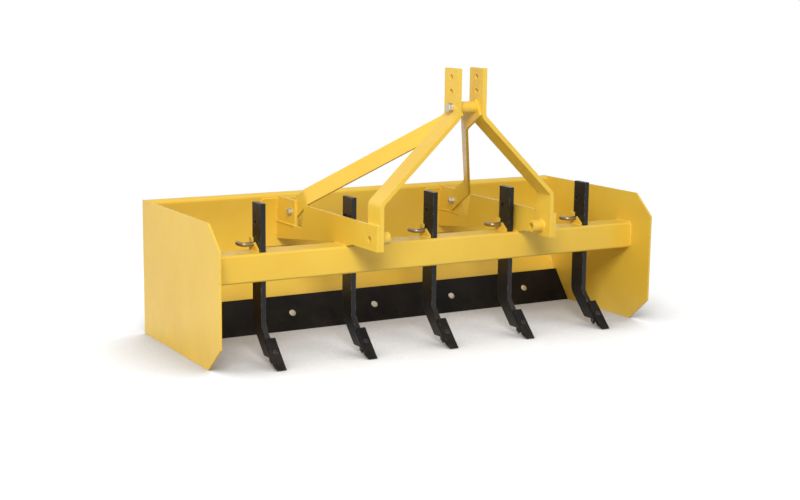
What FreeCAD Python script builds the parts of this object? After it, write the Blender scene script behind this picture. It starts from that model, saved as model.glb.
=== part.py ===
import FreeCAD, Part
import math
import os

# Tractor box blade for a three-point hitch, in millimetres.
# X runs across the machine to its right-hand side, the hitch faces -Y, the blade is at +Y, Z is up.
# While it is drawn, y = 0 is the front edge of the end plates and z = 0 is the ground.
# At the end everything is moved so that the origin is under the middle of the whole machine.

V = FreeCAD.Vector

# Box: two end plates and the sheets between them
overall_width = 1829.0
end_plate_thickness = 8.0
end_plate_depth = 730.0
end_plate_height = 510.0
top_chamfer_depth = 95.0
top_chamfer_height = 82.0
foot_chamfer_depth = 108.0
foot_chamfer_height = 92.0

# Cutting edges: reversible flat bars, the front one leaning forward, the rear one upright
edge_height = 152.0
edge_thickness = 12.7
edge_lean_deg = 51.5
edge_foot_y = 516.0
edge_end_gap = 2.0

# Moldboard: one sheet, straight behind the front edge, then rolled up to a folded top lip
sheet_thickness = 6.5
sheet_tail = 30.0
sheet_straight = 155.0
sheet_roll_radius = 420.0
lip_run = 25.0
lip_depth = 26.0
lip_radius = 12.0
rear_sheet_foot = 34.0
rear_edge_inset = 4.0

# Pads that spread the load of the hitch over the moldboard
pad_thickness = 6.0
pad_inner_x = 295.0
pad_outer_x = 444.0
pad_bottom_z = 300.0
pad_top_drop = 22.0

# Toolbar: square tube with a slot for each shank
bar_size = 101.6
bar_wall = 6.4
bar_front_y = 118.0
bar_bottom_z = 287.0
bar_corner = 9.0

# Scarifier shanks: flat bar with a foot bent forward, and a bolted point
shank_end_space = 212.5
shank_plate_space = 6.5
shank_thickness = 19.0
shank_depth = 70.0
shank_top_z = 558.0
shank_bend_deg = 45.0
shank_bend_z = 120.0
shank_bend_radius = 60.0
shank_throat_radius = 25.0
foot_depth = 55.0
foot_bottom_z = 28.0
slot_clearance = 1.0
hole_pitch = 76.2
hole_count = 3
holes_above_pin_count = 1
pin_diameter = 16.0
pin_hole_clearance = 0.5
pin_setback = 21.0
pin_height = 23.0
point_width = 36.0
point_thickness = 18.0
point_length = 134.0
point_tip_z = 2.0
point_heel_z = 12.0

# Saddle ears that carry each locking pin on top of the bar
ear_thickness = 8.0
ear_height = 46.0
ear_front_height = 8.0
ear_front_inset = 26.0
ear_rear_inset = 6.0
ear_gap = 1.0
ear_post = 18.0
saddle_gap = 0.3
pin_end = 1.0
pin_grip_reach = 58.0
pin_grip_length = 42.0
pin_grip_radius = 14.0
elbow_step_count = 2

# Hitch: two bent flat bars, two side plates, two braces
leg_width = 88.9
leg_thickness = 16.0
leg_centre_y = -58.0
mast_gap = 88.0
mast_bend_z = 852.0
foot_bend_z = 562.0
leg_bend_radius = 24.0
side_plate_thickness = 12.0
side_plate_outer_x = 376.0
side_plate_top_z = 490.0
side_plate_nose_z = 400.0
side_plate_root_z = 326.0
side_plate_root_top_z = 400.0
side_plate_slope_y = 462.0
side_plate_slope_end_y = 486.0
lug_front_y = 545.0
lug_top_drop = 12.0
nose_radius = 34.0
lower_hole_z = 438.0
lower_hole_y = -48.0
lower_hole_diameter = 22.5
boss_diameter = 44.0
boss_reach = 46.0
top_hole_diameter = 19.5
mast_height = 502.0
top_hole_pitch = 50.0
top_hole_edge = 32.0
mast_bolt_diameter = 20.0
mast_bolt_z = 884.0
bolt_clearance = 0.5
bolt_head = 30.0
bolt_head_height = 13.0
spacer_diameter = 42.0
brace_width = 63.5
brace_thickness = 10.0
brace_slope_deg = 33.1
brace_bend_radius = 40.0
brace_head_bend_y = 8.0
brace_root_bend_y = 481.0
brace_root_y = 583.0
brace_root_z = 451.0
brace_head_end = 22.0
brace_root_end = 30.0
brace_bolt_diameter = 16.0
brace_bolt_head = 24.0
brace_bolt_head_height = 10.0

half_width = overall_width / 2.0
inner_x = half_width - end_plate_thickness
bar_rear_y = bar_front_y + bar_size
bar_top_z = bar_bottom_z + bar_size
shank_front_y = bar_front_y + (bar_size - shank_depth) / 2.0
shank_rear_y = shank_front_y + shank_depth
pin_y = shank_rear_y - pin_setback
pin_z = bar_top_z + pin_height
side_plate_inner_x = side_plate_outer_x - side_plate_thickness
pin_reach = shank_thickness / 2.0 + ear_gap + ear_thickness + pin_end
inner_shank_x = side_plate_inner_x - shank_plate_space - pin_reach + pin_end
outer_shank_x = inner_x - shank_end_space
# the scarifiers from left to right: place across the machine, side that the pin's grip points to
scarifiers = [
    (-outer_shank_x, -1),
    (-inner_shank_x, 1),
    (0.0, -1),
    (inner_shank_x, -1),
    (outer_shank_x, -1),
]
pad_top_z = end_plate_height - pad_top_drop
lug_top_z = end_plate_height - lug_top_drop
leg_front_y = leg_centre_y - leg_width / 2.0
leg_rear_y = leg_centre_y + leg_width / 2.0
upper_hole_z = lower_hole_z + mast_height + top_hole_pitch
mast_top_z = upper_hole_z + top_hole_edge
y_middle = (leg_front_y + end_plate_depth) / 2.0


def block(x0, x1, y0, y1, z0, z1):
    return Part.makeBox(x1 - x0, y1 - y0, z1 - z0, V(x0, y0, z0))


def rod_x(x0, x1, y, z, diameter):
    return Part.makeCylinder(diameter / 2.0, x1 - x0, V(x0, y, z), V(1, 0, 0))


def plate_yz(points, x0, x1):
    # a flat plate cut to an outline of (y, z) corners, between x0 and x1
    corners = [V(x0, y, z) for y, z in points]
    face = Part.Face(Part.makePolygon(corners + corners[:1]))
    return face.extrude(V(x1 - x0, 0, 0))


def hexagon_x(x0, x1, y, z, across_flats):
    radius = across_flats / math.sqrt(3.0)
    angles = [math.radians(60.0 * i) for i in range(6)]
    return plate_yz([(y + radius * math.cos(a), z + radius * math.sin(a)) for a in angles], x0, x1)


def bent_strip(path, thickness, radii):
    # outline of a bar of one thickness whose centre line is path, with one bend radius at each
    # inner corner; path is a list of (u, w) pairs and the result is a face in the plane y = 0
    points = [V(u, 0, w) for u, w in path]
    half = thickness / 2.0
    runs = [(points[i + 1] - points[i]).normalize() for i in range(len(points) - 1)]
    left_of = [V(-run.z, 0, run.x) for run in runs]
    sides = {1: [], -1: []}
    start = points[0]
    for i, run in enumerate(runs):
        last = i == len(runs) - 1
        corner = points[i + 1]
        if last:
            end = corner
        else:
            turn = run.getAngle(runs[i + 1])
            end = corner - run * (radii[i] * math.tan(turn / 2.0))
        for side in sides:
            shift = left_of[i] * (side * half)
            sides[side].append(Part.makeLine(start + shift, end + shift))
        if last:
            break
        after = runs[i + 1]
        start = corner + after * (radii[i] * math.tan(turn / 2.0))
        bend = 1.0 if left_of[i].dot(after) > 0 else -1.0
        centre = end + left_of[i] * (bend * radii[i])
        middle = (left_of[i] + left_of[i + 1]).normalize()
        for side in sides:
            reach = side * half - bend * radii[i]
            ends = [centre + left_of[k] * reach for k in (i, i + 1)]
            sides[side].append(Part.Arc(ends[0], centre + middle * reach, ends[1]).toShape())
    caps = [Part.makeLine(sides[1][k].Vertexes[k].Point, sides[-1][k].Vertexes[k].Point) for k in (0, -1)]
    edges = sides[1] + sides[-1] + caps
    return Part.Face(Part.Wire(Part.__sortEdges__(edges)))


def turned_to_yz(face):
    # a face drawn in XZ becomes one in YZ: its x is read as y
    turned = face.copy()
    turned.rotate(V(0, 0, 0), V(0, 0, 1), 90)
    return turned


def mirrored(shape):
    return shape.mirror(V(0, 0, 0), V(1, 0, 0))


def end_plate():
    outline = [
        (0, foot_chamfer_height),
        (foot_chamfer_depth, 0),
        (end_plate_depth, 0),
        (end_plate_depth, end_plate_height),
        (top_chamfer_depth, end_plate_height),
        (0, end_plate_height - top_chamfer_height),
    ]
    return plate_yz(outline, inner_x, half_width)


# Front edge: its front corner stands on the ground; up_edge runs up its face, into_edge through it
lean = math.radians(edge_lean_deg)
up_edge = V(0, math.cos(lean), math.sin(lean))
into_edge = V(0, math.sin(lean), -math.cos(lean))
edge_foot = V(0, edge_foot_y, 0)


def cutting_edge_front():
    # the bottom is ground flat, so the bar stands on the whole of its lower face
    corners = [
        edge_foot,
        edge_foot + up_edge * edge_height,
        edge_foot + up_edge * edge_height + into_edge * edge_thickness,
        edge_foot + V(0, edge_thickness / math.sin(lean), 0),
    ]
    reach = inner_x - edge_end_gap
    return plate_yz([(c.y, c.z) for c in corners], -reach, reach)


def moldboard_path():
    # centre line of the sheet: straight tail behind the edge, roll, folded lip
    tail = edge_foot + into_edge * (edge_thickness + sheet_thickness / 2.0) + up_edge * sheet_tail
    roll_start = tail + up_edge * (sheet_straight - sheet_tail)
    lip_z = end_plate_height - sheet_thickness / 2.0
    roll_rise = lip_z - lip_run - roll_start.z
    top = math.acos(math.cos(lean) - roll_rise / sheet_roll_radius)
    knee = roll_start + up_edge * (sheet_roll_radius * math.tan((top - lean) / 2.0))
    lip = V(0, knee.y + (lip_z - knee.z) / math.tan(top), lip_z)
    return [(tail.y, tail.z), (knee.y, knee.z), (lip.y, lip.z), (lip.y + lip_depth, lip.z)]


def rolled_sheet(x0, x1, thickness):
    face = turned_to_yz(bent_strip(moldboard_path(), thickness, [sheet_roll_radius, lip_radius]))
    sheet = face.extrude(V(x1 - x0, 0, 0))
    sheet.translate(V(x0, 0, 0))
    return sheet


def moldboard_pad(front_sheet):
    thick = rolled_sheet(pad_inner_x, pad_outer_x, sheet_thickness + 2 * pad_thickness)
    window = block(pad_inner_x, pad_outer_x, edge_foot_y, end_plate_depth, pad_bottom_z, pad_top_z)
    return min(thick.cut(front_sheet).common(window).Solids, key=lambda solid: solid.CenterOfMass.y)


rear_edge_y = end_plate_depth - rear_edge_inset - edge_thickness
rear_sheet_y = rear_edge_y - sheet_thickness


def rear_sheet(front_sheet):
    # upright back sheet from the roll of the moldboard down behind the rear edge
    tall = block(-inner_x, inner_x, rear_sheet_y, rear_edge_y, rear_sheet_foot, end_plate_height)
    lower = min(tall.cut(front_sheet).Solids, key=lambda solid: solid.CenterOfMass.z)
    return lower


def cutting_edge_rear():
    reach = inner_x - edge_end_gap
    return block(-reach, reach, rear_edge_y, rear_edge_y + edge_thickness, 0, edge_height)


def toolbar():
    outer = block(-inner_x, inner_x, bar_front_y, bar_rear_y, bar_bottom_z, bar_top_z)
    long_edges = [edge for edge in outer.Edges if edge.Length == max(e.Length for e in outer.Edges)]
    inner = block(-inner_x, inner_x, bar_front_y + bar_wall, bar_rear_y - bar_wall,
                  bar_bottom_z + bar_wall, bar_top_z - bar_wall)
    tube = outer.makeFillet(bar_corner, long_edges).cut(inner)
    half = shank_thickness / 2.0 + slot_clearance
    slots = [block(x - half, x + half, shank_front_y - slot_clearance, shank_rear_y + slot_clearance,
                   bar_bottom_z, bar_top_z) for x, grip_side in scarifiers]
    return tube.cut(Part.makeCompound(slots))


bend = math.radians(shank_bend_deg)
foot_run = V(0, -math.sin(bend), -math.cos(bend))
foot_out = V(0, -math.cos(bend), math.sin(bend))
rear_knee = V(0, shank_rear_y, shank_bend_z)
seat_line = rear_knee + foot_out * foot_depth


def on_foot(start, z):
    # the point at height z on the line through start that runs along the foot
    return start + foot_run * ((start.z - z) / math.cos(bend))


def shank(x):
    throat = seat_line - foot_run * ((shank_front_y - seat_line.y) / math.sin(bend))
    outline = [
        V(0, shank_front_y, shank_top_z),
        throat,
        on_foot(seat_line, foot_bottom_z),
        on_foot(rear_knee, foot_bottom_z),
        rear_knee,
        V(0, shank_rear_y, shank_top_z),
    ]
    bar = plate_yz([(c.y, c.z) for c in outline], x - shank_thickness / 2.0, x + shank_thickness / 2.0)
    for corner, radius in ((throat, shank_throat_radius), (rear_knee, shank_bend_radius)):
        middle = V(x, corner.y, corner.z)
        bends = [min(bar.Edges, key=lambda edge: edge.CenterOfMass.distanceToPoint(middle))]
        bar = bar.makeFillet(radius, bends)
    top_hole = pin_z + holes_above_pin_count * hole_pitch
    for i in range(hole_count):
        hole = rod_x(x - shank_thickness, x + shank_thickness, pin_y, top_hole - i * hole_pitch,
                     pin_diameter + 2 * pin_hole_clearance)
        bar = bar.cut(hole)
    return bar


def shank_point(x):
    # flat point on the front of the foot, ground from below to a chisel edge
    front = seat_line + foot_out * point_thickness
    tip = on_foot(front, point_tip_z)
    top = tip - foot_run * point_length
    corners = [tip, top, top - foot_out * point_thickness, on_foot(seat_line, point_heel_z)]
    return plate_yz([(c.y, c.z) for c in corners], x - point_width / 2.0, x + point_width / 2.0)


def shank_pin(x, grip_side):
    # straight pin through the shank, its grip bent back on the side that grip_side (-1 or 1) gives
    far = V(x - grip_side * pin_reach, pin_y, pin_z)
    path = [far, V(x + grip_side * (pin_grip_reach - pin_grip_radius), pin_y, pin_z)]
    for i in range(1, elbow_step_count):
        turn = math.pi / 2.0 * i / elbow_step_count
        path.append(path[1] + V(grip_side * pin_grip_radius * math.sin(turn),
                                pin_grip_radius * (1.0 - math.cos(turn)), 0))
    path.append(path[1] + V(grip_side * pin_grip_radius, pin_grip_radius, 0))
    path.append(path[-1] + V(0, pin_grip_length - pin_grip_radius, 0))
    section = Part.Wire(Part.makeCircle(pin_diameter / 2.0, far, V(1, 0, 0)))
    sweep = Part.BRepOffsetAPI.MakePipeShell(Part.makePolygon(path))
    sweep.setTransitionMode(1)
    sweep.add(section)
    sweep.build()
    sweep.makeSolid()
    return sweep.shape()


def ear(x0):
    front = bar_front_y + ear_front_inset
    rear = bar_rear_y - ear_rear_inset
    slope_top = rear - ear_post
    outline = [
        (front, bar_top_z),
        (rear, bar_top_z),
        (rear, bar_top_z + ear_height),
        (slope_top, bar_top_z + ear_height),
        (front, bar_top_z + ear_front_height),
    ]
    plate = plate_yz(outline, x0, x0 + ear_thickness)
    saddle = pin_diameter + 2 * saddle_gap
    notch = rod_x(x0, x0 + ear_thickness, pin_y, pin_z, saddle)
    way_out = block(x0, x0 + ear_thickness, pin_y - saddle / 2.0, pin_y + saddle / 2.0, pin_z,
                    bar_top_z + ear_height)
    return plate.cut(notch.fuse(way_out))


def shank_ears():
    offset = shank_thickness / 2.0 + ear_gap
    left = [ear(x - offset - ear_thickness) for x, grip_side in scarifiers]
    right = [ear(x + offset) for x, grip_side in scarifiers]
    return Part.makeCompound(left + right)


def hitch_leg():
    upright_x = mast_gap / 2.0 + leg_thickness / 2.0
    foot_x = side_plate_inner_x - leg_thickness / 2.0
    path = [(upright_x, mast_top_z), (upright_x, mast_bend_z), (foot_x, foot_bend_z),
            (foot_x, side_plate_nose_z)]
    face = bent_strip(path, leg_thickness, [leg_bend_radius, leg_bend_radius])
    bar = face.extrude(V(0, leg_width, 0))
    bar.translate(V(0, leg_front_y, 0))
    for z in (upper_hole_z, upper_hole_z - top_hole_pitch):
        bar = bar.cut(rod_x(0, side_plate_outer_x, leg_centre_y, z, top_hole_diameter))
    bar = bar.cut(rod_x(0, mast_gap, leg_centre_y, mast_bolt_z, mast_bolt_diameter + 2 * bolt_clearance))
    return bar.cut(rod_x(mast_gap, half_width, lower_hole_y, lower_hole_z, boss_diameter))


def front_of(plate, backing):
    # the part of a plate that lies in front of the moldboard and its pad
    return min(plate.cut(backing).Solids, key=lambda solid: solid.CenterOfMass.y)


def side_plate(backing):
    outline = [
        (leg_front_y, side_plate_nose_z),
        (bar_front_y - nose_radius, side_plate_nose_z),
        (bar_front_y, bar_top_z),
        (bar_rear_y, bar_top_z),
        (end_plate_depth, side_plate_root_z),
        (end_plate_depth, side_plate_root_top_z),
        (side_plate_slope_end_y, side_plate_root_top_z),
        (side_plate_slope_y, side_plate_top_z),
        (leg_front_y, side_plate_top_z),
    ]
    plate = front_of(plate_yz(outline, side_plate_inner_x, side_plate_outer_x), backing)
    return plate.cut(rod_x(mast_gap, half_width, lower_hole_y, lower_hole_z, boss_diameter))


def brace_lug(backing):
    # plate that stands on the rear of the side plate and takes the bolt of the brace
    outline = [
        (lug_front_y, side_plate_root_top_z),
        (end_plate_depth, side_plate_root_top_z),
        (end_plate_depth, lug_top_z),
        (lug_front_y, lug_top_z),
    ]
    plate = front_of(plate_yz(outline, side_plate_inner_x, side_plate_outer_x), backing)
    return plate.cut(rod_x(mast_gap, half_width, brace_root_y, brace_root_z,
                           brace_bolt_diameter + 2 * bolt_clearance))


def hitch_boss():
    x0 = side_plate_inner_x - leg_thickness - boss_reach
    tube = rod_x(x0, side_plate_outer_x, lower_hole_y, lower_hole_z, boss_diameter)
    return tube.cut(rod_x(x0, side_plate_outer_x, lower_hole_y, lower_hole_z, lower_hole_diameter))


brace_slope = math.radians(brace_slope_deg)
brace_along = V(0, math.cos(brace_slope), -math.sin(brace_slope))


def brace():
    # flat bar in a sloping plane: its head lies inside the mast bar, its root inside the lug, and
    # it is drawn with the root bolt at the origin, the length along Z, before it is tilted there
    root = V(0, brace_root_y, brace_root_z)
    head_run = (V(0, leg_centre_y, mast_bolt_z) - root).dot(brace_along) - brace_head_end
    head_x = mast_gap / 2.0 - brace_thickness / 2.0
    root_x = side_plate_inner_x - brace_thickness / 2.0
    path = [
        (head_x, head_run),
        (head_x, (brace_head_bend_y - brace_root_y) / brace_along.y),
        (root_x, (brace_root_bend_y - brace_root_y) / brace_along.y),
        (root_x, brace_root_end),
    ]
    face = bent_strip(path, brace_thickness, [brace_bend_radius, brace_bend_radius])
    bar = face.extrude(V(0, brace_width, 0))
    bar.translate(V(0, -brace_width / 2.0, 0))
    bar.rotate(V(0, 0, 0), V(1, 0, 0), -90.0 - brace_slope_deg)
    bar.translate(root)
    for y, z, diameter in ((brace_root_y, brace_root_z, brace_bolt_diameter),
                           (leg_centre_y, mast_bolt_z, mast_bolt_diameter)):
        bar = bar.cut(rod_x(0, half_width, y, z, diameter + 2 * bolt_clearance))
    return bar


def mast_spacer():
    half = mast_gap / 2.0 - brace_thickness
    tube = rod_x(-half, half, leg_centre_y, mast_bolt_z, spacer_diameter)
    return tube.cut(rod_x(-half, half, leg_centre_y, mast_bolt_z, mast_bolt_diameter + 2 * bolt_clearance))


def mast_bolt():
    reach = mast_gap / 2.0 + leg_thickness
    body = rod_x(-reach, reach, leg_centre_y, mast_bolt_z, mast_bolt_diameter)
    head = hexagon_x(-reach - bolt_head_height, -reach, leg_centre_y, mast_bolt_z, bolt_head)
    nut = hexagon_x(reach, reach + bolt_head_height, leg_centre_y, mast_bolt_z, bolt_head)
    return body.fuse([head, nut]).removeSplitter()


def brace_bolt():
    outer = side_plate_outer_x
    inner = side_plate_inner_x - brace_thickness
    body = rod_x(inner, outer, brace_root_y, brace_root_z, brace_bolt_diameter)
    head = hexagon_x(outer, outer + brace_bolt_head_height, brace_root_y, brace_root_z, brace_bolt_head)
    nut = hexagon_x(inner - brace_bolt_head_height, inner, brace_root_y, brace_root_z, brace_bolt_head)
    return body.fuse([head, nut]).removeSplitter()


os.makedirs("parts", exist_ok=True)
nodes = {}
front_sheet = rolled_sheet(-inner_x, inner_x, sheet_thickness)
pad = moldboard_pad(front_sheet)
backing = front_sheet.fuse(pad)
nodes["moldboard"] = front_sheet
nodes["rear_sheet"] = rear_sheet(front_sheet)
nodes["cutting_edge_front"] = cutting_edge_front()
nodes["cutting_edge_rear"] = cutting_edge_rear()
nodes["toolbar"] = toolbar()
nodes["shank_ears"] = shank_ears()
nodes["mast_spacer"] = mast_spacer()
nodes["mast_bolt"] = mast_bolt()

paired = {
    "end_plate": end_plate(),
    "hitch_leg": hitch_leg(),
    "moldboard_pad": pad,
    "hitch_side_plate": side_plate(backing),
    "brace_lug": brace_lug(backing),
    "hitch_boss": hitch_boss(),
    "brace": brace(),
    "brace_bolt": brace_bolt(),
}
for name, shape in paired.items():
    nodes[name + "_right"] = shape
    nodes[name + "_left"] = mirrored(shape)

for number, (x, grip_side) in enumerate(scarifiers, start=1):
    nodes["shank_%d" % number] = shank(x)
    nodes["shank_point_%d" % number] = shank_point(x)
    nodes["shank_pin_%d" % number] = shank_pin(x, grip_side)

for name, shape in nodes.items():
    shape.translate(V(0, -y_middle, 0))
    shape.exportStep("parts/%s.step" % name)
    box = shape.BoundBox
    print("%-26s solids %d valid %s kg %6.2f  x %.0f..%.0f y %.0f..%.0f z %.0f..%.0f" % (
        name, len(shape.Solids), shape.isValid(), shape.Volume * 7.85e-6,
        box.XMin, box.XMax, box.YMin, box.YMax, box.ZMin, box.ZMax))
print("total mass of steel, kg: %.1f" % (sum(s.Volume for s in nodes.values()) * 7.85e-6))
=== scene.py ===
import math

import bmesh
import bpy
from mathutils import Matrix, Vector


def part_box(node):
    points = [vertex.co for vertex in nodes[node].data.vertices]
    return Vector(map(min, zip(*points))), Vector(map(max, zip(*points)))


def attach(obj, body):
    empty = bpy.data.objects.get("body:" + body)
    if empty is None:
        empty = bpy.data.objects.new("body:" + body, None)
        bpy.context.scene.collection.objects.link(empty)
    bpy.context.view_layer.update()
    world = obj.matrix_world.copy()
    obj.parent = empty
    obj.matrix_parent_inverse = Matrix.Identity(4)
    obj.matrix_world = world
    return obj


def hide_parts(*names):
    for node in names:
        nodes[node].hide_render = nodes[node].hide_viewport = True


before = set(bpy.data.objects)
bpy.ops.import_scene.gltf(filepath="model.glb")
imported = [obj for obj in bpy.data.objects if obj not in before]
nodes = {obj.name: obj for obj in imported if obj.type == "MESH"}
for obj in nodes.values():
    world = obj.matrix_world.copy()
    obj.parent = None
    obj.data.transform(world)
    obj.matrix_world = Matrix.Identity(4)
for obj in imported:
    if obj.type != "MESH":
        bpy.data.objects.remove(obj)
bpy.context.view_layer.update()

# End plates: 8 mm steel sheets flame-cut to an eight-cornered outline, one at each end of the box.
# They are sprayed yellow, with a fine orange peel, rubbed corners and a little dust near the ground.
paint_yellow = (0.840, 0.555, 0.060)
paint_yellow_deep = (0.780, 0.480, 0.036)
dust_tan = (0.42, 0.33, 0.20)
primer_dark = (0.070, 0.045, 0.025)


def add_node(tree, kind, inputs=None, **settings):
    # one node with its settings and plain input values
    made = tree.nodes.new(kind)
    for key, value in settings.items():
        setattr(made, key, value)
    for key, value in (inputs or {}).items():
        made.inputs[key].default_value = value
    return made


def open_group(name, inputs, outputs):
    # an empty shader group with named sockets; inputs are (name, socket type, default)
    group = bpy.data.node_groups.new(name, "ShaderNodeTree")
    for label, kind, default in inputs:
        socket = group.interface.new_socket(label, in_out="INPUT", socket_type=kind)
        socket.default_value = default
    for label, kind in outputs:
        group.interface.new_socket(label, in_out="OUTPUT", socket_type=kind)
    return group, group.nodes.new("NodeGroupInput"), group.nodes.new("NodeGroupOutput")


def rubbed_edges_group():
    # Mask is 1 on outer edges where paint is rubbed off in patches; with the shanks' large Amount it is
    # partly a painted edge highlight
    group, given, result = open_group(
        "rubbed_edges",
        [("Radius", "NodeSocketFloat", 0.003), ("Patch Scale", "NodeSocketFloat", 55.0),
         ("Amount", "NodeSocketFloat", 0.5)],
        [("Mask", "NodeSocketFloat")])
    link = group.links.new
    rounded = add_node(group, "ShaderNodeBevel", samples=4)
    surface = add_node(group, "ShaderNodeNewGeometry")
    likeness = add_node(group, "ShaderNodeVectorMath", operation="DOT_PRODUCT")
    edge = add_node(group, "ShaderNodeMapRange", {"From Min": 0.985, "From Max": 0.86})
    place = add_node(group, "ShaderNodeTexCoord")
    patches = add_node(group, "ShaderNodeTexNoise", {"Detail": 5.0, "Roughness": 0.62})
    patch_cut = add_node(group, "ShaderNodeMapRange", {"From Min": 0.50, "From Max": 0.62})
    both = add_node(group, "ShaderNodeMath", operation="MULTIPLY")
    scaled = add_node(group, "ShaderNodeMath", operation="MULTIPLY", use_clamp=True)
    link(given.outputs["Radius"], rounded.inputs["Radius"])
    link(rounded.outputs["Normal"], likeness.inputs[0])
    link(surface.outputs["Normal"], likeness.inputs[1])
    link(likeness.outputs["Value"], edge.inputs["Value"])
    link(place.outputs["Object"], patches.inputs["Vector"])
    link(given.outputs["Patch Scale"], patches.inputs["Scale"])
    link(patches.outputs["Fac"], patch_cut.inputs["Value"])
    link(edge.outputs["Result"], both.inputs[0])
    link(patch_cut.outputs["Result"], both.inputs[1])
    link(both.outputs["Value"], scaled.inputs[0])
    link(given.outputs["Amount"], scaled.inputs[1])
    link(scaled.outputs["Value"], result.inputs["Mask"])
    return group


def settled_dust_group():
    # Mask is stronger on faces that look up and towards the ground line
    group, given, result = open_group(
        "settled_dust",
        [("Amount", "NodeSocketFloat", 0.3), ("Splash Height", "NodeSocketFloat", 0.16)],
        [("Mask", "NodeSocketFloat")])
    link = group.links.new
    surface = add_node(group, "ShaderNodeNewGeometry")
    facing = add_node(group, "ShaderNodeSeparateXYZ")
    upward = add_node(group, "ShaderNodeMapRange", {"From Min": 0.2, "From Max": 1.0, "To Max": 0.7})
    place = add_node(group, "ShaderNodeTexCoord")
    height = add_node(group, "ShaderNodeSeparateXYZ")
    splash = add_node(group, "ShaderNodeMapRange", {"From Max": 0.0})
    cloud = add_node(group, "ShaderNodeTexNoise", {"Scale": 9.0, "Detail": 7.0, "Roughness": 0.65})
    speckle = add_node(group, "ShaderNodeMapRange", {"From Min": 0.40, "From Max": 0.68})
    most = add_node(group, "ShaderNodeMath", operation="MAXIMUM")
    broken = add_node(group, "ShaderNodeMath", operation="MULTIPLY")
    scaled = add_node(group, "ShaderNodeMath", operation="MULTIPLY", use_clamp=True)
    link(surface.outputs["Normal"], facing.inputs["Vector"])
    link(facing.outputs["Z"], upward.inputs["Value"])
    link(place.outputs["Object"], height.inputs["Vector"])
    link(height.outputs["Z"], splash.inputs["Value"])
    link(given.outputs["Splash Height"], splash.inputs["From Min"])
    link(place.outputs["Object"], cloud.inputs["Vector"])
    link(cloud.outputs["Fac"], speckle.inputs["Value"])
    link(upward.outputs["Result"], most.inputs[0])
    link(splash.outputs["Result"], most.inputs[1])
    link(most.outputs["Value"], broken.inputs[0])
    link(speckle.outputs["Result"], broken.inputs[1])
    link(broken.outputs["Value"], scaled.inputs[0])
    link(given.outputs["Amount"], scaled.inputs[1])
    link(scaled.outputs["Value"], result.inputs["Mask"])
    return group


def sprayed_paint_group():
    # Colour drifts softly over a sheet; Height is the orange peel; Gloss drifts with handling marks
    group, given, result = open_group(
        "sprayed_paint",
        [("Colour", "NodeSocketColor", (0.8, 0.5, 0.1, 1.0)),
         ("Deep Colour", "NodeSocketColor", (0.7, 0.4, 0.05, 1.0)),
         ("Peel Scale", "NodeSocketFloat", 420.0), ("Roughness", "NodeSocketFloat", 0.36)],
        [("Colour", "NodeSocketColor"), ("Roughness", "NodeSocketFloat"), ("Height", "NodeSocketFloat")])
    link = group.links.new
    place = add_node(group, "ShaderNodeTexCoord")
    drift = add_node(group, "ShaderNodeTexNoise", {"Scale": 2.6, "Detail": 4.0, "Roughness": 0.55})
    drift_cut = add_node(group, "ShaderNodeMapRange", {"From Min": 0.38, "From Max": 0.72})
    shade = add_node(group, "ShaderNodeMix", data_type="RGBA")
    peel = add_node(group, "ShaderNodeTexNoise", {"Detail": 2.0, "Roughness": 0.45})
    marks = add_node(group, "ShaderNodeTexNoise", {"Scale": 26.0, "Detail": 6.0, "Roughness": 0.7})
    marks_cut = add_node(group, "ShaderNodeMapRange",
                         {"From Min": 0.35, "From Max": 0.75, "To Min": -0.05, "To Max": 0.12})
    gloss = add_node(group, "ShaderNodeMath", operation="ADD", use_clamp=True)
    for texture in (drift, peel, marks):
        link(place.outputs["Object"], texture.inputs["Vector"])
    link(given.outputs["Peel Scale"], peel.inputs["Scale"])
    link(drift.outputs["Fac"], drift_cut.inputs["Value"])
    link(drift_cut.outputs["Result"], shade.inputs["Factor"])
    link(given.outputs["Colour"], shade.inputs["A"])
    link(given.outputs["Deep Colour"], shade.inputs["B"])
    link(marks.outputs["Fac"], marks_cut.inputs["Value"])
    link(given.outputs["Roughness"], gloss.inputs[0])
    link(marks_cut.outputs["Result"], gloss.inputs[1])
    link(shade.outputs["Result"], result.inputs["Colour"])
    link(gloss.outputs["Value"], result.inputs["Roughness"])
    link(peel.outputs["Fac"], result.inputs["Height"])
    return group


rubbed_edges = rubbed_edges_group()
settled_dust = settled_dust_group()
sprayed_paint = sprayed_paint_group()


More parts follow.
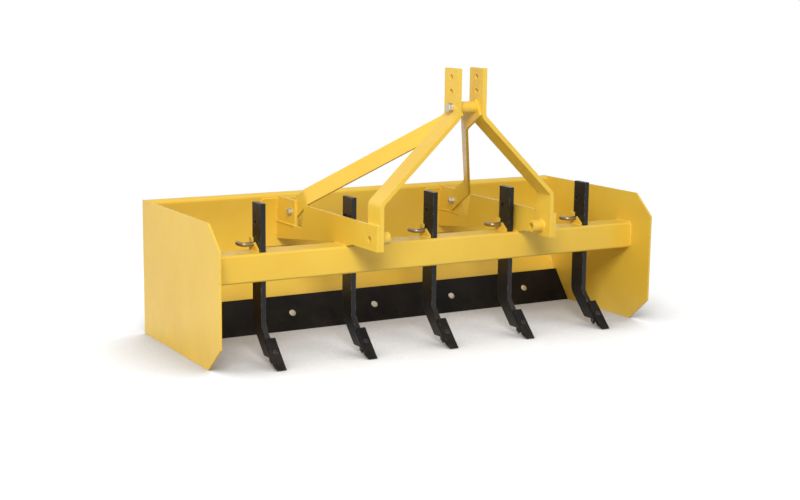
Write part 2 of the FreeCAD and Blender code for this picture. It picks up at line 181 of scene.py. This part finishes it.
def coated_steel(name, colour, deep_colour, bare_colour, roughness, rubbed, dusty,
                 peel_depth=0.00012, shine=0.58):
    # sprayed paint over steel: bare_colour shows where edges are rubbed, dust lies on top
    material = bpy.data.materials.new(name)
    material.use_nodes = True
    tree = material.node_tree
    link = tree.links.new
    shader = tree.nodes["Principled BSDF"]
    shader.inputs["IOR"].default_value = 1.5
    shader.inputs["Specular IOR Level"].default_value = shine
    paint = add_node(tree, "ShaderNodeGroup", node_tree=sprayed_paint)
    paint.inputs["Colour"].default_value = (*colour, 1.0)
    paint.inputs["Deep Colour"].default_value = (*deep_colour, 1.0)
    paint.inputs["Roughness"].default_value = roughness
    wear = add_node(tree, "ShaderNodeGroup", node_tree=rubbed_edges)
    wear.inputs["Amount"].default_value = rubbed
    dust = add_node(tree, "ShaderNodeGroup", node_tree=settled_dust)
    dust.inputs["Amount"].default_value = dusty
    worn = add_node(tree, "ShaderNodeMix", data_type="RGBA")
    worn.inputs["B"].default_value = (*bare_colour, 1.0)
    dusted = add_node(tree, "ShaderNodeMix", data_type="RGBA")
    dusted.inputs["B"].default_value = (*dust_tan, 1.0)
    rough = add_node(tree, "ShaderNodeMix", {"B": 0.85}, data_type="FLOAT")
    bump = add_node(tree, "ShaderNodeBump", {"Strength": 0.6, "Distance": peel_depth})
    link(paint.outputs["Colour"], worn.inputs["A"])
    link(wear.outputs["Mask"], worn.inputs["Factor"])
    link(worn.outputs["Result"], dusted.inputs["A"])
    link(dust.outputs["Mask"], dusted.inputs["Factor"])
    link(dusted.outputs["Result"], shader.inputs["Base Color"])
    link(paint.outputs["Roughness"], rough.inputs["A"])
    link(dust.outputs["Mask"], rough.inputs["Factor"])
    link(rough.outputs["Result"], shader.inputs["Roughness"])
    link(paint.outputs["Height"], bump.inputs["Height"])
    link(bump.outputs["Normal"], shader.inputs["Normal"])
    return material


yellow_paint = coated_steel("yellow_paint", paint_yellow, paint_yellow_deep, primer_dark, 0.36, 0.45, 0.22)


def welded_and_smooth_group():
    # closes the seams of an imported sheet and shades only its true corners as sharp
    group = bpy.data.node_groups.new("welded_and_smooth", "GeometryNodeTree")
    group.interface.new_socket("Geometry", in_out="INPUT", socket_type="NodeSocketGeometry")
    group.interface.new_socket("Geometry", in_out="OUTPUT", socket_type="NodeSocketGeometry")
    given = group.nodes.new("NodeGroupInput")
    result = group.nodes.new("NodeGroupOutput")
    merge = add_node(group, "GeometryNodeMergeByDistance", {"Distance": 0.00001})
    angle = add_node(group, "GeometryNodeInputMeshEdgeAngle")
    sharp = add_node(group, "FunctionNodeCompare", data_type="FLOAT", operation="GREATER_THAN")
    sharp.inputs["B"].default_value = math.radians(28)
    faces = add_node(group, "GeometryNodeSetShadeSmooth", {"Shade Smooth": True}, domain="FACE")
    edges = add_node(group, "GeometryNodeSetShadeSmooth", {"Shade Smooth": False}, domain="EDGE")
    link = group.links.new
    link(given.outputs["Geometry"], merge.inputs["Geometry"])
    link(merge.outputs["Geometry"], faces.inputs["Geometry"])
    link(faces.outputs["Geometry"], edges.inputs["Geometry"])
    link(angle.outputs["Unsigned Angle"], sharp.inputs["A"])
    link(sharp.outputs["Result"], edges.inputs["Selection"])
    link(edges.outputs["Geometry"], result.inputs["Geometry"])
    return group


welded_and_smooth = welded_and_smooth_group()


def finish_node(name, material, edge_radius=0.0008):
    # a construction part keeps its shape; its edges are broken as a grinder would, and it gets its finish
    part = nodes[name]
    part.data.materials.clear()
    part.data.materials.append(material)
    smooth = part.modifiers.new("smooth", "NODES")
    smooth.node_group = welded_and_smooth
    if edge_radius:
        flat = part.modifiers.new("whole_faces", "DECIMATE")
        flat.decimate_type = "DISSOLVE"
        flat.angle_limit = math.radians(0.3)
        bevel = part.modifiers.new("broken_edges", "BEVEL")
        bevel.width = edge_radius
        bevel.segments = 2
        bevel.limit_method = "ANGLE"
        bevel.angle_limit = math.radians(40)
        bevel.harden_normals = True
    return part


for side in ("left", "right"):
    finish_node("end_plate_" + side, yellow_paint, 0.0012)

# Moldboard: one 6.5 mm sheet rolled to a trough, its top folded back as a lip, welded between the end plates.
# The rear sheet closes the box behind it and carries the rear edge; two pads take the load of the hitch.
for name in ("moldboard", "rear_sheet", "moldboard_pad_left", "moldboard_pad_right"):
    finish_node(name, yellow_paint, 0.0006)


def piece(name, mesh_data, material, body):
    # links a finished mesh as one named piece that rides on a body
    made = bpy.data.objects.new(name, mesh_data)
    bpy.context.scene.collection.objects.link(made)
    mesh_data.materials.clear()
    mesh_data.materials.append(material)
    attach(made, body)
    return made


def mesh_from(name, work, smooth=True):
    # turns a bmesh into mesh data and frees it
    bmesh.ops.recalc_face_normals(work, faces=work.faces)
    data = bpy.data.meshes.new(name)
    work.to_mesh(data)
    work.free()
    for face in data.polygons:
        face.use_smooth = smooth
    return data


def bead_into(work, points, outward, leg=0.006, ripple=0.0045):
    # one weld bead along points, laid in a corner, with a ripple for each dab; it swells towards outward,
    # which is one direction, or a function of the place where the side turns along the run
    facets = 6
    path = [Vector(p) for p in points]
    stations = []
    for start, end in zip(path, path[1:]):
        steps = max(1, int((end - start).length / (ripple / 3.0)))
        stations += [start.lerp(end, i / steps) for i in range(steps)]
    stations.append(path[-1])
    rings = []
    travelled = 0.0
    for i, spot in enumerate(stations):
        before = stations[max(0, i - 1)]
        after = stations[min(len(stations) - 1, i + 1)]
        along = (after - before).normalized()
        side = outward(spot) if callable(outward) else Vector(outward).normalized()
        up = (side - along * side.dot(along)).normalized()
        across = along.cross(up)
        travelled += (spot - before).length
        dab = (travelled / ripple) % 1.0
        wander = 1.0 + 0.07 * math.sin(travelled * 131.0) + 0.05 * math.sin(travelled * 307.0)
        height = leg * wander * (0.62 + 0.16 * math.sqrt(1.0 - dab))
        near_end = min(i, len(stations) - 1 - i)
        height *= min(1.0, 0.35 + 0.2 * near_end)
        ring = []
        for k in range(facets + 1):
            turn = math.pi * k / facets
            ring.append(work.verts.new(spot + across * (math.cos(turn) * leg * 0.72 * wander)
                                       + up * (math.sin(turn) * height - leg * 0.12)))
        rings.append(ring)
    for one, two in zip(rings, rings[1:]):
        for k in range(facets):
            work.faces.new((one[k], one[k + 1], two[k + 1], two[k]))
        work.faces.new((one[facets], one[0], two[0], two[facets]))
    work.faces.new(rings[0])
    work.faces.new(list(reversed(rings[-1])))


def bead_piece(name, runs, body="frame", leg=0.006):
    # one piece from several beads; runs are (points, outward)
    work = bmesh.new()
    for points, outward in runs:
        bead_into(work, points, outward, leg)
    return piece(name, mesh_from(name, work), yellow_paint, body)


clear_of_part = 2.0


def front_y(name, x, z):
    # where the front of a part is, seen from the tractor, at (x, z)
    hit, spot, normal, index = nodes[name].ray_cast(Vector((x, -clear_of_part, z)), Vector((0, 1, 0)))
    return spot.y if hit else None


def rear_y(name, x, z):
    # where the rear of a part is at (x, z)
    hit, spot, normal, index = nodes[name].ray_cast(Vector((x, clear_of_part, z)), Vector((0, -1, 0)))
    return spot.y if hit else None


inner_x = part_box("end_plate_right")[0].x
lip_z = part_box("moldboard")[1].z
front_foot_z = 0.13
rear_foot_z = 0.31
bead_step = 0.02
bead_count = int((lip_z - front_foot_z - 0.015) / bead_step)
profile_heights = [front_foot_z + i * bead_step for i in range(bead_count)]
moldboard_runs = []
for side in (-1, 1):
    probe_x = side * (inner_x - 0.01)
    front = [(side * inner_x, front_y("moldboard", probe_x, z), z) for z in profile_heights]
    moldboard_runs.append((front, (-side, -0.8, 0)))
    rear = [(side * inner_x, rear_y("moldboard", probe_x, z), z) for z in profile_heights if z > rear_foot_z]
    moldboard_runs.append((rear, (-side, 0.8, 0)))
bead_piece("weld_moldboard_ends", moldboard_runs)

seam_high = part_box("rear_sheet")[1]
seam_y = seam_high.y
seam_foot_z = 0.16
bead_piece("weld_rear_sheet", [
    ([(-inner_x + 0.01, seam_y, seam_high.z), (inner_x - 0.01, seam_y, seam_high.z)], (0, 0.7, 1)),
    ([(-inner_x, seam_y, seam_foot_z), (-inner_x, seam_y, seam_high.z)], (1, 0.7, 0)),
    ([(inner_x, seam_y, seam_foot_z), (inner_x, seam_y, seam_high.z)], (-1, 0.7, 0)),
])

pad_runs = []
for side in ("left", "right"):
    low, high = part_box("moldboard_pad_" + side)
    middle_x = (low.x + high.x) / 2.0
    levels = [low.z + 0.002 + i * (high.z - low.z - 0.004) / 9.0 for i in range(10)]
    for x, outward in ((low.x, -1), (high.x, 1)):
        seam = [(x, front_y("moldboard", x + outward * 0.004, z), z) for z in levels]
        pad_runs.append((seam, (outward, -1, 0)))
    for z, outward in ((low.z, -1), (high.z, 1)):
        y = front_y("moldboard", middle_x, z + outward * 0.003)
        pad_runs.append(([(low.x, y, z), (high.x, y, z)], (0, -1, outward)))
bead_piece("weld_pads", pad_runs, leg=0.005)

# Cutting edges: 1/2 in by 6 in flat bars of hard steel, black from the mill and bright where soil rubs.
# Each is held by five plough bolts, whose round heads sit nearly flush and whose nuts are behind the sheet.
mill_black = (0.005, 0.005, 0.006)
mill_black_warm = (0.012, 0.010, 0.009)
bare_grey_wear_and_highlight = (0.30, 0.29, 0.27)
black_steel = coated_steel("black_steel", mill_black, mill_black_warm, bare_grey_wear_and_highlight, 0.42, 0.40, 0.05,
                           peel_depth=0.0002, shine=0.10)
for name in ("cutting_edge_front", "cutting_edge_rear"):
    finish_node(name, black_steel, 0.0010)


def plated_steel_material(name, colour, roughness):
    # zinc plating: soft grey metal with a faint yellow bloom and fine handling marks
    material = bpy.data.materials.new(name)
    material.use_nodes = True
    tree = material.node_tree
    link = tree.links.new
    shader = tree.nodes["Principled BSDF"]
    shader.inputs["Metallic"].default_value = 0.85
    paint = add_node(tree, "ShaderNodeGroup", node_tree=sprayed_paint)
    paint.inputs["Colour"].default_value = (*colour, 1.0)
    paint.inputs["Deep Colour"].default_value = (colour[0] * 0.8, colour[1] * 0.74, colour[2] * 0.55, 1.0)
    paint.inputs["Peel Scale"].default_value = 900.0
    paint.inputs["Roughness"].default_value = roughness
    dust = add_node(tree, "ShaderNodeGroup", node_tree=settled_dust)
    dusted = add_node(tree, "ShaderNodeMix", data_type="RGBA")
    dusted.inputs["B"].default_value = (*dust_tan, 1.0)
    bump = add_node(tree, "ShaderNodeBump", {"Strength": 0.5, "Distance": 0.0001})
    link(paint.outputs["Colour"], dusted.inputs["A"])
    link(dust.outputs["Mask"], dusted.inputs["Factor"])
    link(dusted.outputs["Result"], shader.inputs["Base Color"])
    link(paint.outputs["Roughness"], shader.inputs["Roughness"])
    link(paint.outputs["Height"], bump.inputs["Height"])
    link(bump.outputs["Normal"], shader.inputs["Normal"])
    return material


zinc_steel = plated_steel_material("zinc_steel", (0.60, 0.58, 0.52), 0.34)


def turned_into(work, profile, spot, outward, sides=32):
    # a solid of revolution about outward at spot; profile is (radius, height) from its foot to its top
    axis = Vector(outward).normalized()
    turn = Vector((0, 0, 1)).rotation_difference(axis).to_matrix()
    rings = []
    for radius, height in profile:
        if radius == 0.0:
            rings.append([work.verts.new(Vector(spot) + axis * height)])
            continue
        ring = []
        for k in range(sides):
            a = 2.0 * math.pi * k / sides
            offset = turn @ Vector((radius * math.cos(a), radius * math.sin(a), height))
            ring.append(work.verts.new(Vector(spot) + offset))
        rings.append(ring)
    for one, two in zip(rings, rings[1:]):
        for k in range(sides):
            n = (k + 1) % sides
            if len(one) == 1:
                work.faces.new((one[0], two[k], two[n]))
            elif len(two) == 1:
                work.faces.new((one[k], one[n], two[0]))
            else:
                work.faces.new((one[k], one[n], two[n], two[k]))
    for ring in (rings[0], rings[-1]):
        if len(ring) > 1:
            work.faces.new(ring)


def plough_head_into(work, spot, outward, radius=0.0135, proud=0.0034):
    # low dome with the ring of its countersink around it
    turned_into(work, [
        (radius, -0.004), (radius, proud * 0.35), (radius * 0.92, proud * 0.62),
        (radius * 0.62, proud * 0.92), (radius * 0.3, proud), (0.0, proud * 1.02),
    ], spot, outward)


def hex_into(work, spot, outward, across_flats, height, turn_deg=0.0, chamfer=0.0012):
    # six-sided head or nut, its top corners turned off
    axis = Vector(outward).normalized()
    frame_turn = Vector((0, 0, 1)).rotation_difference(axis).to_matrix()
    corner = across_flats / math.sqrt(3.0)
    levels = [(corner, 0.0), (corner, height - chamfer), (corner - chamfer * 1.6, height)]
    rings = []
    for radius, rise in levels:
        ring = []
        for k in range(6):
            a = math.radians(turn_deg + 60.0 * k)
            offset = frame_turn @ Vector((radius * math.cos(a), radius * math.sin(a), rise))
            ring.append(work.verts.new(Vector(spot) + offset))
        rings.append(ring)
    for one, two in zip(rings, rings[1:]):
        for k in range(6):
            n = (k + 1) % 6
            work.faces.new((one[k], one[n], two[n], two[k]))
    work.faces.new(rings[0])
    work.faces.new(rings[-1])


washer_thickness = 0.0025


def washered_hex_into(work, spot, outward, across_flats, height, turn_deg):
    # head or nut on its washer
    axis = Vector(outward).normalized()
    washer = across_flats * 0.62
    turned_into(work, [(washer, 0.0), (washer, washer_thickness)], spot, outward)
    hex_into(work, Vector(spot) + axis * washer_thickness, outward, across_flats, height, turn_deg)


def nut_and_stud_into(work, spot, outward, across_flats=0.024, height=0.013, stud=0.008, turn_deg=0.0):
    # nut on its washer, and the end of the bolt standing out of it with its thread
    washered_hex_into(work, spot, outward, across_flats, height, turn_deg)
    bolt = across_flats * 0.33
    thread = [(bolt, 0.002 + height)]
    pitch = 0.0019
    turns = int(stud / pitch)
    for i in range(turns):
        base = 0.0035 + height + i * pitch
        thread += [(bolt * 0.88, base), (bolt, base + pitch * 0.5)]
    thread.append((bolt * 0.8, 0.0035 + height + turns * pitch))
    turned_into(work, thread, spot, outward)


def fastener(name, work, material, body, smooth=False):
    # one finished bolt, row of bolts or pin, flat-faced unless told otherwise
    return piece(name, mesh_from(name, work, smooth), material, body)


bolt_rows = (0.0, -0.361, 0.361, -0.722, 0.722)
front_bolts = bmesh.new()
front_bolt_z = 0.058
front_row_shift = -0.016
for x in bolt_rows:
    start = Vector((x + front_row_shift, -clear_of_part, front_bolt_z))
    hit, spot, normal, index = nodes["cutting_edge_front"].ray_cast(start, Vector((0, 1, 0)))
    plough_head_into(front_bolts, spot, normal)
    start = Vector(spot) - normal * 0.3
    hit, behind, normal_behind, index = nodes["moldboard"].ray_cast(start, normal)
    nut_and_stud_into(front_bolts, behind, normal_behind, turn_deg=x * 90.0)
fastener("front_edge_bolts", front_bolts, zinc_steel, "frame")

rear_bolts = bmesh.new()
rear_bolt_z = 0.076
for x in bolt_rows:
    head_y = rear_y("cutting_edge_rear", x, rear_bolt_z)
    nut_y = front_y("rear_sheet", x, rear_bolt_z)
    plough_head_into(rear_bolts, (x, head_y, rear_bolt_z), (0, 1, 0))
    nut_and_stud_into(rear_bolts, (x, nut_y, rear_bolt_z), (0, -1, 0), turn_deg=x * 70.0)
fastener("rear_edge_bolts", rear_bolts, zinc_steel, "frame")

# Toolbar: 4 in square tube welded between the end plates, slotted for five shanks.
# Pairs of flame-cut ears on top of it hold each shank's pin in their saddles.
finish_node("toolbar", yellow_paint, 0.0006)
finish_node("shank_ears", yellow_paint, 0.0008)
bar_low, bar_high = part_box("toolbar")
corner = 0.006
bar_runs = []
for side in (-1, 1):
    x = side * inner_x
    for y, z0, z1, outward in ((bar_low.y, bar_low.z + corner, bar_high.z - corner, (-side, -1, 0)),
                               (bar_high.y, bar_low.z + corner, bar_high.z - corner, (-side, 1, 0))):
        bar_runs.append(([(x, y, z0), (x, y, z1)], outward))
    for z, outward in ((bar_low.z, (-side, 0, -1)), (bar_high.z, (-side, 0, 1))):
        bar_runs.append(([(x, bar_low.y + corner, z), (x, bar_high.y - corner, z)], outward))
bead_piece("weld_toolbar", bar_runs)

ear_low, ear_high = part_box("shank_ears")
ear_side = 0.009
ear_runs = []
for number in range(1, 6):
    shank_low, shank_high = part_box("shank_%d" % number)
    for x, outward in ((shank_low.x - ear_side, -1), (shank_high.x + ear_side, 1)):
        seam = [(x, ear_low.y, bar_high.z), (x, ear_high.y, bar_high.z)]
        ear_runs.append((seam, (outward, 0, 1)))
bead_piece("weld_ears", ear_runs, leg=0.004)

# Scarifiers: 3/4 in flat bars, bent forward at the foot, with a row of pin holes and a chisel point bolted
# on. They are painted black and rubbed bright at the points. Each hangs on a bent pin of 16 mm round bar.
elbow_radius = 0.014
elbow_steps = 8


def bent_rod_into(work, centre_line, radius, sides=28, chamfer=0.0015):
    # round bar along a level centre line, its two ends chamfered
    stations = []
    for i, spot in enumerate(centre_line):
        before = centre_line[max(0, i - 1)]
        after = centre_line[min(len(centre_line) - 1, i + 1)]
        stations.append((spot, (after - before).normalized(), radius))
    first, last = stations[0], stations[-1]
    stations.insert(1, (first[0] + first[1] * chamfer, first[1], radius))
    stations[0] = (first[0], first[1], radius - chamfer)
    stations.insert(-1, (last[0] - last[1] * chamfer, last[1], radius))
    stations[-1] = (last[0], last[1], radius - chamfer)
    rings = []
    for spot, along, reach in stations:
        across = along.cross(Vector((0, 0, 1)))
        ring = []
        for k in range(sides):
            angle = 2.0 * math.pi * k / sides
            ring.append(work.verts.new(spot + across * (reach * math.cos(angle))
                                       + Vector((0, 0, reach * math.sin(angle)))))
        rings.append(ring)
    for one, two in zip(rings, rings[1:]):
        for k in range(sides):
            n = (k + 1) % sides
            work.faces.new((one[k], one[n], two[n], two[k]))
    work.faces.new(rings[0])
    work.faces.new(rings[-1])


# the locking pins get a darker, browner metal than the bolts
dark_brown_pin_metal = plated_steel_material("dark_brown_pin_metal", (0.36, 0.28, 0.16), 0.38)
# shank and point-bolt black: glossier, with much more bare grey on the edges, partly real wear and partly a
# painted highlight on the edges
worn_and_highlit_black = coated_steel("worn_and_highlit_black", mill_black, mill_black_warm, bare_grey_wear_and_highlight, 0.34, 0.75, 0.05,
                          peel_depth=0.0002, shine=0.34)
for number in range(1, 6):
    body = "scarifier_%d" % number
    finish_node("shank_%d" % number, worn_and_highlit_black, 0.0012)
    finish_node("shank_point_%d" % number, black_steel, 0.0010)
    point_low, point_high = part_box("shank_point_%d" % number)
    middle_x = (point_low.x + point_high.x) / 2.0
    bolt_z = point_low.z + (point_high.z - point_low.z) * 0.56
    start = Vector((middle_x, -clear_of_part, bolt_z))
    hit, spot, normal, index = nodes["shank_point_%d" % number].ray_cast(start, Vector((0, 1, 0)))
    work = bmesh.new()
    plough_head_into(work, spot, normal, 0.0095, 0.0022)
    start = Vector(spot) - normal * 0.3
    hit, behind, normal_behind, index = nodes["shank_%d" % number].ray_cast(start, normal)
    nut_and_stud_into(work, behind, normal_behind, 0.019, 0.011, 0.006)
    fastener("point_bolt_%d" % number, work, worn_and_highlit_black, body)

    low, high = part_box("shank_pin_%d" % number)
    radius = (high.z - low.z) / 2.0
    grip_side = 1 if (low.x + high.x) / 2.0 > middle_x else -1
    far_x, grip_x = (low.x, high.x - radius) if grip_side > 0 else (high.x, low.x + radius)
    pin_y = low.y + radius
    pin_z = low.z + radius
    centre_line = [Vector((far_x, pin_y, pin_z))]
    for i in range(elbow_steps + 1):
        angle = math.pi / 2.0 * i / elbow_steps
        centre_line.append(Vector((grip_x - grip_side * elbow_radius * (1.0 - math.sin(angle)),
                                   pin_y + elbow_radius * (1.0 - math.cos(angle)), pin_z)))
    centre_line.append(Vector((grip_x, high.y, pin_z)))
    work = bmesh.new()
    bent_rod_into(work, centre_line, radius)
    pin = fastener("locking_pin_%d" % number, work, dark_brown_pin_metal, body, smooth=True)
    pin.data.set_sharp_from_angle(angle=math.radians(35))
    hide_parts("shank_pin_%d" % number)

# Hitch: two flat bars bent to an A, whose upright tops are the mast, with a spacer tube bolted between them.
# Their feet are welded inside the side plates, which run back over the toolbar to the moldboard, and
# two braces of flat bar are bolted between the mast and the lugs at the rear of the plates.
for side in ("left", "right"):
    for name in ("hitch_leg_", "hitch_side_plate_", "hitch_boss_", "brace_", "brace_lug_"):
        finish_node(name + side, yellow_paint, 0.0010)
finish_node("mast_spacer", yellow_paint, 0.0006)

leg_thickness = 0.016
hitch_runs = []
ring_steps = 36
for side, name in ((-1, "left"), (1, "right")):
    plate_low, plate_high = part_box("hitch_side_plate_" + name)
    leg_low, leg_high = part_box("hitch_leg_" + name)
    lug_low, lug_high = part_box("brace_lug_" + name)
    boss_low, boss_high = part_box("hitch_boss_" + name)
    outer_face = side * max(abs(plate_low.x), abs(plate_high.x))
    inner_face = side * min(abs(plate_low.x), abs(plate_high.x))
    leg_inner_face = inner_face - side * leg_thickness
    for face, outward in ((outer_face, side), (inner_face, -side)):
        on_bar = [(face, bar_low.y + 0.012, bar_high.z), (face, bar_high.y - 0.010, bar_high.z)]
        hitch_runs.append((on_bar, (outward, 0, 1)))
        lowest, highest = plate_low.z + 0.012, lug_high.z - 0.012
        levels = [lowest + i * (highest - lowest) / 9.0 for i in range(10)]
        beside = face + outward * 0.003
        on_pad = [(face, front_y("moldboard_pad_" + name, beside, z), z) for z in levels]
        hitch_runs.append((on_pad, (outward, -1, 0)))
        seam_end = front_y("moldboard_pad_" + name, beside, lug_low.z) - 0.004
        under_lug = [(face, lug_low.y + 0.003, lug_low.z), (face, seam_end, lug_low.z)]
        hitch_runs.append((under_lug, (outward, 0, 0)))
    on_foot = [(inner_face, leg_low.y + 0.004, plate_high.z), (inner_face, leg_high.y - 0.002, plate_high.z)]
    hitch_runs.append((on_foot, (side, 0, 1)))
    behind_foot = [(inner_face, leg_high.y, z) for z in (leg_low.z + 0.003, plate_high.z - 0.002)]
    hitch_runs.append((behind_foot, (-side, 1, 0)))
    boss_middle = Vector((leg_inner_face, (boss_low.y + boss_high.y) / 2.0, (boss_low.z + boss_high.z) / 2.0))
    boss_radius = (boss_high.z - boss_low.z) / 2.0
    ring = []
    for i in range(ring_steps + 1):
        angle = 2.0 * math.pi * i / ring_steps
        ring.append(boss_middle + Vector((0, boss_radius * math.cos(angle), boss_radius * math.sin(angle))))

    def away_from_boss(spot, middle=boss_middle, inward=-side):
        return ((spot - middle).normalized() + Vector((inward, 0, 0))).normalized()

    hitch_runs.append((ring, away_from_boss))
bead_piece("weld_hitch", hitch_runs)


def through_bolt_into(work, head_at, nut_at, across_flats, head_height, nut_height, stud):
    # washers, chamfered head and nut of one bolt whose grip runs from head_at to nut_at
    grip = (Vector(nut_at) - Vector(head_at)).normalized()
    washered_hex_into(work, head_at, -grip, across_flats, head_height, 12.0)
    nut_and_stud_into(work, nut_at, grip, across_flats, nut_height, stud, 25.0)


low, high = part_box("mast_bolt")
bolt_y, bolt_z = (low.y + high.y) / 2.0, (low.z + high.z) / 2.0
mast_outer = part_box("hitch_leg_right")[0].x + leg_thickness
work = bmesh.new()
through_bolt_into(work, (-mast_outer, bolt_y, bolt_z), (mast_outer, bolt_y, bolt_z),
                  across_flats=0.030, head_height=0.012, nut_height=0.013, stud=0.006)
bolt = fastener("mast_bolt_and_nut", work, zinc_steel, "frame")
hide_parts("mast_bolt")

brace_thickness = 0.010
for side, name in ((-1, "left"), (1, "right")):
    low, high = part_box("brace_bolt_" + name)
    bolt_y, bolt_z = (low.y + high.y) / 2.0, (low.z + high.z) / 2.0
    brace_low, brace_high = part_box("brace_" + name)
    lug_low, lug_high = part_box("brace_lug_" + name)
    outer_face = side * max(abs(lug_low.x), abs(lug_high.x))
    inner_face = side * (max(abs(brace_low.x), abs(brace_high.x)) - brace_thickness)
    work = bmesh.new()
    through_bolt_into(work, (outer_face, bolt_y, bolt_z), (inner_face, bolt_y, bolt_z),
                      across_flats=0.024, head_height=0.010, nut_height=0.010, stud=0.005)
    bolt = fastener("brace_bolt_and_nut_" + name, work, zinc_steel, "frame")
    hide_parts("brace_bolt_" + name)

# Floor and light: a plain pale studio floor under two soft panels, a large one at the front left and a
# low one beside the left end plate. The floor takes the lamps' shadows, and near the machine an
# ambient-occlusion mask dims its glow as a painted soft shadow; further out it runs to even white.
floor_reach = 60.0
floor_grey = 0.42
floor_mesh = bpy.data.meshes.new("floor")
corners = [(x * floor_reach, y * floor_reach, 0) for x, y in ((-1, -1), (1, -1), (1, 1), (-1, 1))]
floor_mesh.from_pydata(corners, [], [(0, 1, 2, 3)])
floor = bpy.data.objects.new("floor", floor_mesh)
bpy.context.scene.collection.objects.link(floor)


def background_rays(tree):
    # 1 for the rays that show a background as it is: camera, glossy and transmission rays
    ray = add_node(tree, "ShaderNodeLightPath")
    found = ray.outputs["Is Camera Ray"]
    for kind in ("Is Glossy Ray", "Is Transmission Ray"):
        either = add_node(tree, "ShaderNodeMath", operation="MAXIMUM")
        tree.links.new(found, either.inputs[0])
        tree.links.new(ray.outputs[kind], either.inputs[1])
        found = either.outputs["Value"]
    return found


floor_white = bpy.data.materials.new("floor_white")
floor_white.use_nodes = True
tree = floor_white.node_tree
link = tree.links.new
floor_shader = tree.nodes["Principled BSDF"]
floor_shader.inputs["Base Color"].default_value = (floor_grey, floor_grey, floor_grey, 1.0)
floor_shader.inputs["Roughness"].default_value = 0.9
seen = background_rays(tree)
place = add_node(tree, "ShaderNodeTexCoord")
distance = add_node(tree, "ShaderNodeVectorMath", operation="LENGTH")
fade = add_node(tree, "ShaderNodeMapRange", {"From Min": 1.3, "From Max": 2.6},
                interpolation_type="SMOOTHSTEP")
far_white = add_node(tree, "ShaderNodeMath", operation="MULTIPLY")
# painted soft shadow: the floor's glow is dimmed wherever ambient occlusion finds the machine close by
painted_shadow_occlusion = add_node(tree, "ShaderNodeAmbientOcclusion", {"Distance": 0.7}, samples=8)
painted_soft_shadow = add_node(tree, "ShaderNodeMapRange",
                       {"From Min": 0.50, "From Max": 0.88, "To Min": 0.08, "To Max": 0.72})
lift_strength = add_node(tree, "ShaderNodeMath", operation="MULTIPLY")
lift = add_node(tree, "ShaderNodeEmission", {"Color": (1, 1, 1, 1)})
lifted = add_node(tree, "ShaderNodeAddShader")
glow = add_node(tree, "ShaderNodeEmission", {"Color": (1, 1, 1, 1), "Strength": 1.0})
blend = add_node(tree, "ShaderNodeMixShader")
link(place.outputs["Object"], distance.inputs[0])
link(distance.outputs["Value"], fade.inputs["Value"])
link(fade.outputs["Result"], far_white.inputs[0])
link(seen, far_white.inputs[1])
link(painted_shadow_occlusion.outputs["AO"], painted_soft_shadow.inputs["Value"])
link(seen, lift_strength.inputs[0])
link(painted_soft_shadow.outputs["Result"], lift_strength.inputs[1])
link(lift_strength.outputs["Value"], lift.inputs["Strength"])
link(floor_shader.outputs["BSDF"], lifted.inputs[0])
link(lift.outputs["Emission"], lifted.inputs[1])
link(far_white.outputs["Value"], blend.inputs["Fac"])
link(lifted.outputs["Shader"], blend.inputs[1])
link(glow.outputs["Emission"], blend.inputs[2])
link(blend.outputs["Shader"], tree.nodes["Material Output"].inputs["Surface"])
floor_mesh.materials.append(floor_white)

fill_light = 0.42
world = bpy.data.worlds.new("studio")
bpy.context.scene.world = world
world.use_nodes = True
tree = world.node_tree
sky = tree.nodes["Background"]
sky.inputs["Color"].default_value = (1, 1, 1, 1)
strength = add_node(tree, "ShaderNodeMapRange", {"To Min": fill_light, "To Max": 1.0})
tree.links.new(background_rays(tree), strength.inputs["Value"])
tree.links.new(strength.outputs["Result"], sky.inputs["Strength"])


def panel_light(name, target, direction, distance, width, height, energy):
    # a flat lamp that faces target from distance along direction
    data = bpy.data.lights.new(name, "AREA")
    data.shape = "RECTANGLE"
    data.size = width
    data.size_y = height
    data.energy = energy
    lamp = bpy.data.objects.new(name, data)
    bpy.context.scene.collection.objects.link(lamp)
    lamp.visible_camera = False
    towards = Vector(direction).normalized()
    lamp.location = Vector(target) + towards * distance
    lamp.rotation_euler = towards.to_track_quat("Z", "Y").to_euler()


panel_light("key", target=(-0.6, -0.2, 0.35), direction=(-0.40, -0.78, 0.68), distance=6.6,
            width=2.6, height=2.6, energy=380)
panel_light("left_side", target=(-0.9, 0.0, 0.30), direction=(-1.0, -0.15, 0.16), distance=2.7,
            width=2.4, height=1.2, energy=23)

# Camera: at the photograph's place, a little above the mast and to the left of the machine.
# Its small shifts put the middle of the view where the photograph has it.
camera_place = (-2.730, -4.655, 1.262)
camera_data = bpy.data.cameras.new("camera")
camera_data.sensor_width = 36.0
camera_data.lens = 64.68
camera_data.shift_x = 0.00125
camera_data.shift_y = -0.00125
camera_data.clip_end = 200.0
camera = bpy.data.objects.new("camera", camera_data)
bpy.context.scene.collection.objects.link(camera)
yaw = math.radians(29.94)
pitch = math.radians(9.92)
roll = math.radians(0.68)
forward = Vector((math.sin(yaw) * math.cos(pitch), math.cos(yaw) * math.cos(pitch), -math.sin(pitch)))
level_right = Vector((math.cos(yaw), -math.sin(yaw), 0))
level_up = level_right.cross(forward)
right = level_right * math.cos(roll) + level_up * math.sin(roll)
up = level_up * math.cos(roll) - level_right * math.sin(roll)
turn = Matrix((right, up, -forward)).transposed().to_4x4()
camera.matrix_world = Matrix.Translation(camera_place) @ turn
bpy.context.scene.camera = camera
bpy.context.scene.view_settings.view_transform = "Standard"

bpy.context.view_layer.update()
